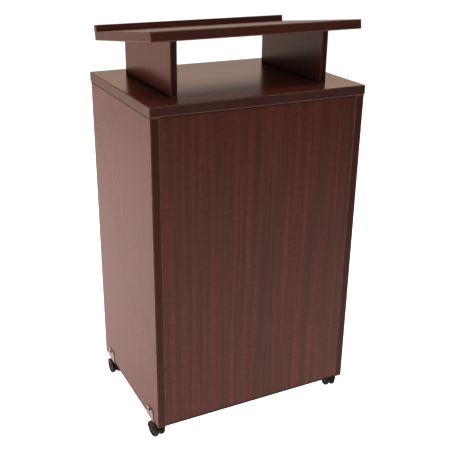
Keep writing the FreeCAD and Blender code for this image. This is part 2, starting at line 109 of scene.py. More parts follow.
class LecternLaminate(bpy.types.PropertyGroup):
    """Printed mahogany laminate and the strips on its edges."""
    dark_streak: colour("Dark streak", "Colour of the dark streaks in the grain",
                        (0.132, 0.042, 0.020))
    red_streak: colour("Red streak", "Colour of the red ribbons in the grain", (0.226, 0.043, 0.029))
    strip_dark: colour("Strip dark", "Darker colour of the edge strips", (0.082, 0.023, 0.016))
    strip_light: colour("Strip light", "Lighter colour of the edge strips", (0.128, 0.034, 0.021))
    rubbed: colour("Rubbed edge", "Colour of the corners that hands and feet rub",
                   (0.360, 0.130, 0.070))
    ribbon_width: length("Ribbon width", "Usual width of one ribbon of the grain", 0.016)
    # painted highlight: a lighter colour along the strips' rounded corners, standing in for the light
    # they catch
    highlighted: colour("Highlighted corner", "Colour of the strips' corners, where the trimmer cut them",
                    (0.420, 0.230, 0.180))
    highlight_width: length("Highlight width", "Width of the trimmed corner of a strip", 0.0042)
    # trim is how strongly the painted highlight shows on the strips' corners
    trim: factor("Highlight", "How clearly the trimmed corner shows", 0.75)
    wear_reach: length("Wear reach", "How far rubbing reaches from a corner", 0.0018)
    wear: factor("Wear", "How strongly the corners are rubbed", 0.50)
    # width of the painted shade line along both ends of the upright panels
    painted_shade_width: length("Painted shade line", "Width of the dark line at the ends of the upright panels", 0.0046)
    roughness: factor("Roughness", "Roughness of the satin surface", 0.25)


class LecternHardware(bpy.types.PropertyGroup):
    """Steel, zinc and plastic parts."""
    plate: colour("Zinc plate", "Colour of the plated brackets", (0.50, 0.47, 0.45))
    screw_steel: colour("Screw steel", "Colour of screws, stems, nuts and axles", (0.58, 0.57, 0.55))
    die_cast: colour("Die cast", "Colour of the cam housings", (0.50, 0.50, 0.50))
    dark_steel: colour("Dark steel", "Colour of the oxidised bracket bolts", (0.020, 0.013, 0.011))
    moulding: colour("Caster moulding", "Colour of the black caster mouldings", (0.013, 0.010, 0.009))
    # this colour serves both the scuffs and the painted brownish sheen on the caster plastic
    moulding_wear_and_sheen: colour("Moulding wear and sheen", "Colour of rubbed and dusty plastic", (0.090, 0.066, 0.054))
    dowel_wood: colour("Dowel wood", "Colour of the beech dowels", (0.60, 0.41, 0.23))
    hub_cap_radius: length("Hub cap radius", "Radius of the button in the middle of a wheel", 0.0066)
    hub_cap_height: length("Hub cap height", "Height of that button", 0.0013)
    wheel_ring_radius: length("Wheel ring radius", "Radius of the bead near the rim of a wheel", 0.0182)
    wheel_bead: length("Wheel bead", "Half thickness of that bead", 0.0006)
    cam_ring_radius: length("Cam ring radius", "Radius of the rim bead of a cam", 0.0069)
    cam_bead: length("Cam bead", "Half thickness of that bead", 0.00022)
    cam_arms: IntProperty(name="Cam arms", description="Raised arms on the face of a cam", default=4,
                          min=3)
    cam_arm_place: length("Cam arm place", "Middle of an arm from the middle of the cam", 0.0044)
    cam_arm_length: length("Cam arm length", "Length of an arm", 0.0026)
    cam_arm_width: length("Cam arm width", "Width of an arm", 0.0007)
    cam_arm_height: length("Cam arm height", "Height of an arm, half of it in the cam", 0.0005)


class LecternStudio(bpy.types.PropertyGroup):
    """Floor, lights and camera."""
    floor_size: length("Floor size", "Side of the square floor", 30.0)
    floor_tone: colour("Floor tone", "Colour of the pale floor", (0.90, 0.90, 0.895))
    floor_glow: brightness("Floor glow", "How much brighter the floor looks than it is", 1.0)
    floor_light: brightness("Floor light", "Soft box that lights the floor alone", 5.0)
    near_floor_light: brightness("Near floor light", "Smaller soft box for the floor by the front", 0.5)
    left_light: brightness("Left light", "Low soft box on the left", 2.55)
    left_back_light: brightness("Left back light", "Low soft box behind on the left", 0.5)
    back_light: brightness("Back light", "Soft box behind, level with the top", 0.48)
    high_back_light: brightness("High back light", "Soft box behind, above the board", 1.75)
    right_light: brightness("Right light", "Soft box on the right", 1.5)
    top_light: brightness("Top light", "Soft box above the front", 0.70)
    small_top_light: brightness("Small top light", "Small bright soft box that catches the edges", 3.2)
    ambient: brightness("Ambient", "The room itself", 0.04)
    back_tint: colour("Back tint", "Colour of the light behind", (1.0, 0.80, 0.73))
    high_back_tint: colour("High back tint", "Colour of the higher light behind", (1.0, 0.64, 0.43))
    floor_tint: colour("Floor tint", "Colour of the lights on the floor", (1.0, 0.79, 0.76))
    left_tint: colour("Left tint", "Colour of the lights on the left", (1.0, 0.75, 0.59))
    lens: FloatProperty(name="Lens", description="Focal length of the camera in millimetres",
                        default=60.70, min=1.0, subtype="DISTANCE_CAMERA")
    camera_place: FloatVectorProperty(name="Camera place", description="Where the camera stands",
                                      default=(-0.9190, -1.8328, 1.3854), subtype="TRANSLATION",
                                      unit="LENGTH")
    camera_azimuth: FloatProperty(name="Camera azimuth",
                                  description="Turn of the view about the vertical",
                                  default=math.radians(-26.863), subtype="ANGLE", unit="ROTATION")
    camera_pitch: FloatProperty(name="Camera pitch", description="How far the camera looks down",
                                default=math.radians(22.7355), subtype="ANGLE", unit="ROTATION")
    camera_roll: FloatProperty(name="Camera roll", description="Turn of the camera about its own axis",
                               default=math.radians(0.732), subtype="ANGLE", unit="ROTATION")


# ---- node helpers -------------------------------------------------------------------------------
def add(tree, kind, inputs=None, **settings):
    """A node with its inputs set or linked: keys are socket names or numbers."""
    node = tree.nodes.new(kind)
    for key, value in settings.items():
        setattr(node, key, value)
    for key, value in (inputs or {}).items():
        if isinstance(value, bpy.types.NodeSocket):
            tree.links.new(value, node.inputs[key])
        else:
            node.inputs[key].default_value = value
    return node


def math_node(tree, operation, *values):
    """The result socket of a Math node."""
    return add(tree, "ShaderNodeMath", dict(enumerate(values)), operation=operation).outputs[0]


def difference(tree, first, second):
    """The first vector less the second."""
    return add(tree, "ShaderNodeVectorMath", {0: first, 1: second}, operation="SUBTRACT").outputs[0]


def scaled(tree, tone, amount):
    """A colour times a number."""
    return add(tree, "ShaderNodeVectorMath", {0: tone, "Scale": amount}, operation="SCALE").outputs[0]


def noise(tree, vector, scale, detail, roughness, distortion=0.0):
    """The value socket of a noise whose scale is given along each axis, in cells per metre."""
    cells = add(tree, "ShaderNodeVectorMath", {0: vector, 1: scale}, operation="MULTIPLY").outputs[0]
    inputs = {"Vector": cells, "Scale": 1.0, "Detail": detail, "Roughness": roughness,
              "Distortion": distortion}
    return add(tree, "ShaderNodeTexNoise", inputs).outputs[0]


def spread(tree, value, low, high, to_low=0.0, to_high=1.0):
    """A smooth step from one range of values to another."""
    inputs = {0: value, 1: low, 2: high, 3: to_low, 4: to_high}
    return add(tree, "ShaderNodeMapRange", inputs, interpolation_type="SMOOTHSTEP").outputs[0]


def mix_colour(tree, amount, first, second):
    """The result socket of two colours mixed."""
    inputs = {0: amount}
    for key, tone in ((6, first), (7, second)):
        inputs[key] = tone if isinstance(tone, bpy.types.NodeSocket) else (*tone, 1.0)
    return add(tree, "ShaderNodeMix", inputs, data_type="RGBA").outputs[2]


def new_material(name, **constants):
    """A material with a Principled shader whose constant sockets are set, and its tree."""
    material = bpy.data.materials.new(name)
    material.use_nodes = True
    tree = material.node_tree
    tree.nodes.clear()
    shader = tree.nodes.new("ShaderNodeBsdfPrincipled")
    for key, value in constants.items():
        shader.inputs[key.replace("_", " ")].default_value = value
    output = tree.nodes.new("ShaderNodeOutputMaterial")
    tree.links.new(shader.outputs[0], output.inputs[0])
    return material, tree, shader


def finish_shader(tree, shader, base, roughness, height=None, bump_distance=0.0, bump_strength=0.0):
    """Links colour, roughness and bump to the shader."""
    tree.links.new(base, shader.inputs["Base Color"])
    tree.links.new(roughness, shader.inputs["Roughness"])
    if height is not None:
        bump = add(tree, "ShaderNodeBump", {"Height": height, "Distance": bump_distance,
                                            "Strength": bump_strength})
        tree.links.new(bump.outputs[0], shader.inputs["Normal"])


def object_vector(tree, turn=(0.0, 0.0, 0.0)):
    """Object coordinates, turned by an angle about each axis."""
    source = tree.nodes.new("ShaderNodeTexCoord").outputs["Object"]
    return add(tree, "ShaderNodeMapping", {"Vector": source, "Rotation": turn}).outputs[0]


def corner_wear_and_highlight(tree, vector, low, high, reach, least=0.15):
    """1 on the edges of a box and 0 a little way off, broken up along the edge down to the least."""
    nearest = add(tree, "ShaderNodeVectorMath",
                  {0: difference(tree, vector, low), 1: difference(tree, high, vector)},
                  operation="MINIMUM").outputs[0]
    parts = add(tree, "ShaderNodeSeparateXYZ", {0: nearest})
    lesser = math_node(tree, "MINIMUM", parts.outputs[0], parts.outputs[1])
    greater = math_node(tree, "MAXIMUM", parts.outputs[0], parts.outputs[1])
    inner = math_node(tree, "MINIMUM", greater, parts.outputs[2])
    # the second smallest of the three distances is small only near an edge of the box
    second = math_node(tree, "MAXIMUM", lesser, inner)
    near = spread(tree, second, 0.0, reach, 1.0, 0.0)
    patches = noise(tree, vector, (35.0, 35.0, 35.0), 4.0, 0.65)
    return math_node(tree, "MULTIPLY", near, spread(tree, patches, 0.35, 0.68, least, 1.0))


def end_line(tree, vector, low, high, reach):
    """0.9 at the lower and upper ends of a panel, a painted shade line along those ends, and 0
    elsewhere.
    """
    height = add(tree, "ShaderNodeSeparateXYZ", {0: vector}).outputs[2]
    # the line at the foot is half as wide again as the one at the head
    from_foot = math_node(tree, "DIVIDE", math_node(tree, "SUBTRACT", height, low.z), 1.5)
    from_head = math_node(tree, "SUBTRACT", high.z, height)
    return spread(tree, math_node(tree, "MINIMUM", from_foot, from_head), reach * 0.7, reach, 0.9, 0.0)


def give(node_name, material):
    """Puts a material on a CAD node."""
    target = frame["nodes"][node_name]
    if not target.material_slots:
        target.data.materials.append(material)
    for material_slot in target.material_slots:
        material_slot.material = material


# ---- mahogany -----------------------------------------------------------------------------------
def desk_box(node_name):
    """Lowest and highest corner of a node in the sloping board's own directions."""
    back_turn = Matrix.Rotation(DESK_TILT, 3, "X")
    points = [back_turn @ vertex.co for vertex in frame["nodes"][node_name].data.vertices]
    low = Vector([min(point[axis] for point in points) for axis in range(3)])
    high = Vector([max(point[axis] for point in points) for axis in range(3)])
    return low, high


def piece_frame(tree, node_name, sloping):
    """Coordinates that run along a piece's own edges, and the piece's box in them."""
    if sloping:
        return object_vector(tree, (DESK_TILT, 0.0, 0.0)), desk_box(node_name)
    return object_vector(tree), tuple(Vector(corner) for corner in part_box(node_name))


def grain_scale(along, across_cells, along_cells):
    """Noise cells per metre on each axis for grain that runs along one axis."""
    return tuple(along_cells if axis == along else across_cells for axis in range(3))


def laminate(node_name, along, sloping, sizes):
    """Printed straight-grained mahogany on both faces of a panel; along is the axis of the grain."""
    material, tree, shader = new_material(f"mahogany_{node_name}", Specular_IOR_Level=0.5)
    vector, (low, high) = piece_frame(tree, node_name, sloping)
    wander = noise(tree, vector, grain_scale(along, 3.0, 1.3), 2.0, 0.5)
    shift = math_node(tree, "MULTIPLY", math_node(tree, "SUBTRACT", wander, 0.5), GRAIN_WANDER)
    grain = add(tree, "ShaderNodeVectorMath", {0: vector, 1: shift}, operation="ADD").outputs[0]
    ribbon = 1.0 / sizes.ribbon_width
    broad, ribbons, shade, lines, flecks, ripple = (
        noise(tree, grain, grain_scale(along, ribbon * across, run), *shape)
        for across, run, *shape in GRAIN)
    pores = noise(tree, grain, grain_scale(along, PORES_ACROSS, PORES_ALONG), 1.0, 0.5)

    weighted = math_node(tree, "ADD", math_node(tree, "MULTIPLY", broad, 0.35),
                         math_node(tree, "MULTIPLY", ribbons, 0.65))
    figured = CALM_FIGURE.get(node_name, 1.0)
    redness = spread(tree, weighted, 0.34, 0.66, 0.5 - figured / 2, 0.5 + figured / 2)
    base = mix_colour(tree, redness, sizes.dark_streak, sizes.red_streak)
    # short bright and dark figure inside the red ribbons, and fine dark lines everywhere
    figure = math_node(tree, "MULTIPLY", math_node(tree, "SUBTRACT", ripple, 0.5), redness)
    figure = math_node(tree, "MULTIPLY_ADD", figure, 0.95 * figured, 1.0)
    tone = figure
    # layer, the values at which its step starts and ends, how much it darkens and how much it lightens
    for layer, start, end, darker, lighter in (
            (lines, 0.25, 0.75, 0.18, 0.18), (flecks, 0.2, 0.8, 0.08, 0.08),
            (shade, 0.3, 0.7, 0.20, 0.18), (pores, 0.30, 0.42, 0.2, 0.0)):
        step = spread(tree, layer, start, end, 1.0 - darker * figured, 1.0 + lighter * figured)
        tone = math_node(tree, "MULTIPLY", tone, step)
    # painted shade: a dark line along the lower and upper ends of the upright panels
    if along == Z_AXIS:
        painted_shade = end_line(tree, vector, low, high, sizes.painted_shade_width)
        tone = math_node(tree, "MULTIPLY", tone, math_node(tree, "SUBTRACT", 1.0, painted_shade))
    tinted = scaled(tree, base, tone)
    worn = corner_wear_and_highlight(tree, vector, low, high, sizes.wear_reach)
    worn = math_node(tree, "MULTIPLY", worn, sizes.wear)
    coloured = mix_colour(tree, worn, tinted, sizes.rubbed)

    smears = noise(tree, vector, (7.0, 7.0, 7.0), 4.0, 0.6, 0.6)
    fine = noise(tree, vector, (900.0, 900.0, 900.0), 2.0, 0.5)
    roughness = spread(tree, smears, 0.3, 0.7, sizes.roughness - 0.006, sizes.roughness + 0.006)
    roughness = math_node(tree, "ADD", roughness, spread(tree, fine, 0.3, 0.7, -0.008, 0.010))
    roughness = math_node(tree, "ADD", roughness, math_node(tree, "MULTIPLY", worn, 0.2))
    if along == Z_AXIS:
        roughness = math_node(tree, "ADD", roughness, math_node(tree, "MULTIPLY", painted_shade, 0.5))
    height = math_node(tree, "ADD", math_node(tree, "MULTIPLY", pores, 0.6),
                       math_node(tree, "MULTIPLY", fine, 0.4))
    finish_shader(tree, shader, coloured, roughness, height, bump_distance=0.00002,
                  bump_strength=0.12 * figured)
    return material


def edge_strip(node_name, upright, sloping, sizes):
    """Pressed plastic strip with a fine speckle, faint printed lines that run along it, and a painted
    highlight on its corners.
    """
    material, tree, shader = new_material(f"edge_strip_{node_name}",
                                          Specular_IOR_Level=0.25 if upright else 0.5)
    vector, (low, high) = piece_frame(tree, node_name, sloping)
    run = (420.0, 420.0, 5.0) if upright else (5.0, 5.0, 420.0)
    lines = noise(tree, vector, run, 3.0, 0.6)
    speckle = noise(tree, vector, (650.0, 650.0, 650.0), 3.0, 0.7)
    cloud = noise(tree, vector, (22.0, 22.0, 22.0), 3.0, 0.55)
    amount = math_node(tree, "ADD", math_node(tree, "MULTIPLY", lines, 0.45),
                       math_node(tree, "MULTIPLY", speckle, 0.55))
    base = mix_colour(tree, spread(tree, amount, 0.35, 0.65), sizes.strip_dark, sizes.strip_light)
    # the strip of the reading board is painted paler than the others, standing in for the light that
    # falls on it
    pale = 1.3 if sloping else 1.0
    base = scaled(tree, base, spread(tree, cloud, 0.2, 0.8, 0.88 * pale, 1.12 * pale))
    # painted highlight: the strips' corners lighten towards the highlighted colour, broken up along the
    # edge
    cut = corner_wear_and_highlight(tree, vector, low, high, sizes.highlight_width, least=0.6)
    coloured = mix_colour(tree, math_node(tree, "MULTIPLY", cut, sizes.trim), base, sizes.highlighted)
    roughness = spread(tree, speckle, 0.3, 0.7, sizes.roughness, sizes.roughness + 0.10)
    finish_shader(tree, shader, coloured, roughness, speckle, bump_distance=0.00006,
                  bump_strength=0.5)
    return material


# ---- metal and plastic --------------------------------------------------------------------------
def plated_steel(name, tone, dull, brushed):
    """Zinc plated steel: fine brushing, cloudy plating and small dark spots."""
    material, tree, shader = new_material(name, Metallic=1.0)
    vector = object_vector(tree)
    brushing = noise(tree, vector, brushed, 3.0, 0.6)
    cloud = noise(tree, vector, (160.0, 160.0, 160.0), 4.0, 0.6, 0.5)
    spots = noise(tree, vector, (900.0, 900.0, 900.0), 2.0, 0.5)
    shade = math_node(tree, "MULTIPLY", spread(tree, cloud, 0.25, 0.75, 0.80, 1.12),
                      spread(tree, spots, 0.28, 0.40, 0.70, 1.0))
    shade = math_node(tree, "MULTIPLY", shade, spread(tree, brushing, 0.2, 0.8, 0.90, 1.08))
    yellowed = tuple(part * share for part, share in zip(tone, (1.0, 0.93, 0.82)))
    base = scaled(tree, mix_colour(tree, spread(tree, cloud, 0.55, 0.8), tone, yellowed), shade)
    roughness = math_node(tree, "ADD", spread(tree, cloud, 0.2, 0.8, dull - 0.06, dull + 0.10),
                          spread(tree, brushing, 0.2, 0.8, -0.04, 0.05))
    finish_shader(tree, shader, base, roughness, brushing, bump_distance=0.00003, bump_strength=0.4)
    return material


def oxidised_steel(name, tone):
    """Dark chemically blackened bolt heads with rubbed, browner patches."""
    material, tree, shader = new_material(name, Metallic=0.85)
    vector = object_vector(tree)
    patches = noise(tree, vector, (700.0, 700.0, 700.0), 4.0, 0.65)
    grit = noise(tree, vector, (4000.0, 4000.0, 4000.0), 2.0, 0.5)
    brown = tuple(part * share for part, share in zip(tone, (2.6, 2.1, 1.8)))
    base = mix_colour(tree, spread(tree, patches, 0.5, 0.75), tone, brown)
    roughness = spread(tree, patches, 0.2, 0.8, 0.30, 0.52)
    finish_shader(tree, shader, base, roughness, grit, bump_distance=0.00003, bump_strength=0.5)
    return material


def moulded_plastic(name, tone, wear_and_sheen_tone, scuff_height):
    """Black caster plastic: fine grain, a brownish painted sheen in patches, and scuffs up to a height
    from the floor.
    """
    material, tree, shader = new_material(name, Specular_IOR_Level=0.3)
    vector = object_vector(tree)
    grain = noise(tree, vector, (2600.0, 2600.0, 2600.0), 2.0, 0.5)
    painted_sheen = noise(tree, vector, (90.0, 90.0, 90.0), 4.0, 0.6)
    scratches = noise(tree, vector, (300.0, 300.0, 2500.0), 2.0, 0.6, 0.8)
    height_up = add(tree, "ShaderNodeSeparateXYZ", {0: vector}).outputs[2]
    low_down = spread(tree, height_up, 0.0, scuff_height, 1.0, 0.0)
    scuffs = math_node(tree, "MULTIPLY", low_down, spread(tree, scratches, 0.45, 0.7))
    # the lighter brown patches are a painted sheen; the scuffs near the floor are wear
    amount = math_node(tree, "MAXIMUM", math_node(tree, "MULTIPLY", scuffs, 0.75),
                       spread(tree, painted_sheen, 0.45, 0.8, 0.0, 0.35))
    base = mix_colour(tree, amount, tone, wear_and_sheen_tone)
    roughness = math_node(tree, "ADD", spread(tree, painted_sheen, 0.3, 0.7, 0.28, 0.40),
                          math_node(tree, "MULTIPLY", scuffs, 0.3))
    finish_shader(tree, shader, base, roughness, grain, bump_distance=0.00005, bump_strength=0.5)
    return material


def beech(name, tone):
    """Plain beech dowels with fine darker rays."""
    material, tree, shader = new_material(name)
    vector = object_vector(tree)
    rays = noise(tree, vector, (900.0, 900.0, 900.0), 3.0, 0.6)
    bands = noise(tree, vector, (120.0, 120.0, 120.0), 3.0, 0.5)
    darker = tuple(part * 0.62 for part in tone)
    base = mix_colour(tree, spread(tree, rays, 0.4, 0.7, 0.0, 0.7), tone, darker)
    roughness = spread(tree, bands, 0.3, 0.7, 0.5, 0.7)
    finish_shader(tree, shader, base, roughness, rays, bump_distance=0.0001, bump_strength=0.5)
    return material


# ---- raised trim on round faces -----------------------------------------------------------------
def trim_tree():
    """Geometry Nodes: a rim bead, a domed button and raised arms on each point, facing outwards."""
    tree = bpy.data.node_groups.new("round_face_trim", "GeometryNodeTree")
    face = tree.interface
    face.new_socket("Geometry", in_out="INPUT", socket_type="NodeSocketGeometry")
    for name in ("Ring Radius", "Bead", "Ring Lift", "Cap Radius", "Cap Height", "Arm Place",
                 "Arm Length", "Arm Width", "Arm Height"):
        face.new_socket(name, in_out="INPUT", socket_type="NodeSocketFloat")
    face.new_socket("Arm Count", in_out="INPUT", socket_type="NodeSocketInt")
    face.new_socket("Material", in_out="INPUT", socket_type="NodeSocketMaterial")
    face.new_socket("Geometry", in_out="OUTPUT", socket_type="NodeSocketGeometry")
    given = tree.nodes.new("NodeGroupInput").outputs

    circle = add(tree, "GeometryNodeCurvePrimitiveCircle",
                 {"Resolution": 40, "Radius": given["Ring Radius"]})
    bead = add(tree, "GeometryNodeCurvePrimitiveCircle", {"Resolution": 8, "Radius": given["Bead"]})
    ring = add(tree, "GeometryNodeCurveToMesh",
               {"Curve": circle.outputs[0], "Profile Curve": bead.outputs[0]})
    lift = add(tree, "ShaderNodeCombineXYZ", {2: given["Ring Lift"]})
    ring = add(tree, "GeometryNodeTransform",
               {"Geometry": ring.outputs[0], "Translation": lift.outputs[0]})

    dome = add(tree, "GeometryNodeMeshUVSphere", {"Segments": 32, "Rings": 16, "Radius": 1.0})
    dome_size = add(tree, "ShaderNodeCombineXYZ", {0: given["Cap Radius"], 1: given["Cap Radius"],
                                                   2: given["Cap Height"]})
    cap = add(tree, "GeometryNodeTransform",
              {"Geometry": dome.outputs[0], "Scale": dome_size.outputs[0]})
    has_cap = add(tree, "FunctionNodeCompare", {0: given["Cap Height"], 1: 0.0},
                  operation="GREATER_THAN")
    cap = add(tree, "GeometryNodeSwitch", {"Switch": has_cap.outputs[0], "True": cap.outputs[0]},
              input_type="GEOMETRY")

    arm_size = add(tree, "ShaderNodeCombineXYZ", {0: given["Arm Length"], 1: given["Arm Width"],
                                                  2: given["Arm Height"]})
    arm = add(tree, "GeometryNodeMeshCube", {"Size": arm_size.outputs[0]})
    spokes = add(tree, "GeometryNodeMeshCircle", {"Vertices": given["Arm Count"],
                                                  "Radius": given["Arm Place"]})
    spoke_out = add(tree, "GeometryNodeInputPosition")
    spoke_turn = add(tree, "FunctionNodeAlignRotationToVector", {"Vector": spoke_out.outputs[0]},
                     axis="X")
    arms = add(tree, "GeometryNodeInstanceOnPoints", {"Points": spokes.outputs[0],
                                                      "Instance": arm.outputs[0],
                                                      "Rotation": spoke_turn.outputs[0]})
    joined = tree.nodes.new("GeometryNodeJoinGeometry")
    for part in (arms, cap, ring):
        tree.links.new(part.outputs[0], joined.inputs[0])

    facing = add(tree, "GeometryNodeInputNamedAttribute", {"Name": "facing"}, data_type="FLOAT_VECTOR")
    turn = add(tree, "FunctionNodeAlignRotationToVector", {"Vector": facing.outputs[0]}, axis="Z")
    placed = add(tree, "GeometryNodeInstanceOnPoints", {"Points": given["Geometry"],
                                                        "Instance": joined.outputs[0],
                                                        "Rotation": turn.outputs[0]})
    real = add(tree, "GeometryNodeRealizeInstances", {0: placed.outputs[0]})
    painted = add(tree, "GeometryNodeSetMaterial", {"Geometry": real.outputs[0],
                                                    "Material": given["Material"]})
    result = tree.nodes.new("NodeGroupOutput")
    tree.links.new(painted.outputs[0], result.inputs[0])
    return tree


def trim_piece(name, body, places, sizes, tree):
    """A plain mesh of trim on each (point, outward direction), riding on a body."""
    points = bpy.data.meshes.new(f"{name}_points")
    points.from_pydata([point for point, outward in places], [], [])
    facing = points.attributes.new("facing", "FLOAT_VECTOR", "POINT")
    for record, (point, outward) in zip(facing.data, places):
        record.vector = outward
    carrier = bpy.data.objects.new(f"{name}_points", points)
    bpy.context.scene.collection.objects.link(carrier)
    modifier = carrier.modifiers.new("trim", "NODES")
    modifier.node_group = tree
    for item in tree.interface.items_tree:
        if item.in_out == "INPUT" and item.name in sizes:
            modifier[item.identifier] = sizes[item.name]
    depsgraph = bpy.context.evaluated_depsgraph_get()
    mesh = bpy.data.meshes.new_from_object(carrier.evaluated_get(depsgraph), depsgraph=depsgraph)
    bpy.data.objects.remove(carrier)
    bpy.data.meshes.remove(points)
    if not mesh.polygons:
        raise RuntimeError(f"{name} came out empty")
    mesh.name = name
    for polygon in mesh.polygons:
        polygon.use_smooth = True
    piece = bpy.data.objects.new(name, mesh)
    bpy.context.scene.collection.objects.link(piece)
    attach(piece, body)


def islands(node_name):
    """Lowest and highest corner of each separate solid in a CAD node."""
    copy = bmesh.new()
    copy.from_mesh(frame["nodes"][node_name].data)
    bmesh.ops.remove_doubles(copy, verts=copy.verts, dist=1e-6)
    boxes = []
    waiting = set(copy.verts)
    while waiting:
        group = [waiting.pop()]
        for vertex in group:
            for edge in vertex.link_edges:
                other = edge.other_vert(vertex)
                if other in waiting:
                    waiting.remove(other)
                    group.append(other)
        low = Vector([min(vertex.co[axis] for vertex in group) for axis in range(3)])
        high = Vector([max(vertex.co[axis] for vertex in group) for axis in range(3)])
        boxes.append((low, high))
    copy.free()
    return sorted(boxes, key=lambda box: tuple(box[0]))


# ---- operators ----------------------------------------------------------------------------------
class LECTERN_OT_panels(bpy.types.Operator):
    """Gives every panel its printed mahogany laminate"""
    bl_idname = "lectern.panels"
    bl_label = "Finish the panels"

    def execute(self, context):
        sizes = context.scene.lectern_laminate
        for names, along, sloping in ((UPRIGHT_GRAIN, Z_AXIS, False), (LEVEL_GRAIN, X_AXIS, False),
                                      (DESK_GRAIN, X_AXIS, True)):
            for node_name in names:
                give(node_name, laminate(node_name, along, sloping, sizes))
        return {"FINISHED"}


class LECTERN_OT_edge_strips(bpy.types.Operator):
    """Gives every edge strip its speckled plastic"""
    bl_idname = "lectern.edge_strips"
    bl_label = "Finish the edge strips"

    def execute(self, context):
        sizes = context.scene.lectern_laminate
        for names, upright, sloping in ((UPRIGHT_STRIPS, True, False), (LEVEL_STRIPS, False, False),
                                        (DESK_STRIPS, False, True)):
            for node_name in names:
                give(node_name, edge_strip(node_name, upright, sloping, sizes))
        return {"FINISHED"}


class LECTERN_OT_fittings(bpy.types.Operator):
    """Gives brackets, bolts, screws, cams, pins and dowels their metal and wood"""
    bl_idname = "lectern.fittings"
    bl_label = "Finish the fittings"

    def execute(self, context):
        sizes = context.scene.lectern_hardware
        # how dull each metal is, and the cells of its brushing in a metre on each axis
        plate = plated_steel("zinc_plate", tuple(sizes.plate), 0.36, (90.0, 1800.0, 90.0))
        screws = plated_steel("screw_steel", tuple(sizes.screw_steel), 0.30, (1500.0, 1500.0, 1500.0))
        cast = plated_steel("die_cast_zinc", tuple(sizes.die_cast), 0.42, (700.0, 700.0, 700.0))
        for corner in CORNERS:
            give(f"{corner}_bracket", plate)
            give(f"{corner}_axle", screws)
        for node_name in ("caster_stems", "stem_nuts", "cam_bolts", "upright_screws",
                          "book_stop_screws", "shelf_pins", "bracket_nuts"):
            give(node_name, screws)
        give("cam_housings", cast)
        give("bracket_bolts", oxidised_steel("oxidised_bolt", tuple(sizes.dark_steel)))
        give("dowels", beech("beech_dowel", tuple(sizes.dowel_wood)))
        return {"FINISHED"}


class LECTERN_OT_cam_faces(bpy.types.Operator):
    """Adds the rim bead and the raised arms on the face of each cam"""
    bl_idname = "lectern.cam_faces"
    bl_label = "Make the cam faces"

    def execute(self, context):
        sizes = context.scene.lectern_hardware
        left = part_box("left_side_panel")[1][0]
        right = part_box("right_side_panel")[0][0]
        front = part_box("front_panel")[1][1]
        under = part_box("bottom_panel")[0][2]
        places = []
        for low, high in islands("cam_housings"):
            middle = (low + high) / 2
            if abs(high.x - left) < SAME_FACE:
                places.append((Vector((left, middle.y, middle.z)), Vector((1, 0, 0))))
            elif abs(low.x - right) < SAME_FACE:
                places.append((Vector((right, middle.y, middle.z)), Vector((-1, 0, 0))))
            elif abs(high.y - front) < SAME_FACE:
                places.append((Vector((middle.x, front, middle.z)), Vector((0, 1, 0))))
            elif abs(low.z - under) < SAME_FACE:
                places.append((Vector((middle.x, middle.y, under)), Vector((0, 0, -1))))
            else:
                raise RuntimeError("a cam lies in no known panel face")
        inputs = {"Ring Radius": sizes.cam_ring_radius, "Bead": sizes.cam_bead, "Ring Lift": 0.0,
                  "Cap Radius": 0.0, "Cap Height": 0.0, "Arm Place": sizes.cam_arm_place,
                  "Arm Length": sizes.cam_arm_length, "Arm Width": sizes.cam_arm_width,
                  "Arm Height": sizes.cam_arm_height, "Arm Count": sizes.cam_arms,
                  "Material": bpy.data.materials["die_cast_zinc"]}
        trim_piece("cam_faces", "cabinet", places, inputs, trim_tree())
        return {"FINISHED"}


class LECTERN_OT_casters(bpy.types.Operator):
    """Gives the casters their plastic, and each wheel its hub button and bead"""
    bl_idname = "lectern.casters"
    bl_label = "Finish the casters"

    def execute(self, context):
        sizes = context.scene.lectern_hardware
        hood = moulded_plastic("caster_hood", sizes.moulding, sizes.moulding_wear_and_sheen, scuff_height=0.012)
        tread = moulded_plastic("caster_wheel", sizes.moulding, sizes.moulding_wear_and_sheen,
                                scuff_height=0.045)
        tree = trim_tree()
        for corner in CORNERS:
            give(f"{corner}_caster_body", hood)
            low, high = (Vector(point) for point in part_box(f"{corner}_caster_body"))
            body_middle = (low + high) / 2
            for which in ("outer", "inner"):
                node_name = f"{corner}_{which}_wheel"
                give(node_name, tread)
                axle = next(joint for joint in frame["joints"] if joint["name"] == f"{node_name}_spin")
                wheel = frame["nodes"][node_name].data
                axis = Vector(axle["axis"]).normalized()
                centre = Vector(axle["pos_m"])
                outward = axis if (centre - body_middle).dot(axis) > 0 else -axis
                # the hub face and the rim face are the farthest points near the axle and near the rim
                hub = 0.0
                rim = 0.0
                for vertex in wheel.vertices:
                    out = (vertex.co - centre).dot(outward)
                    from_axle = ((vertex.co - centre) - outward * out).length
                    if from_axle < HUB_REACH:
                        hub = max(hub, out)
                    rim = max(rim, out)
                inputs = {"Ring Radius": sizes.wheel_ring_radius, "Bead": sizes.wheel_bead,
                          "Ring Lift": rim - hub, "Cap Radius": sizes.hub_cap_radius,
                          "Cap Height": sizes.hub_cap_height, "Arm Place": 0.0, "Arm Length": 0.0,
                          "Arm Width": 0.0, "Arm Height": 0.0, "Arm Count": 0, "Material": tread}
                trim_piece(f"{node_name}_trim", node_name,
                           [(centre + outward * hub, outward)], inputs, tree)
        return {"FINISHED"}


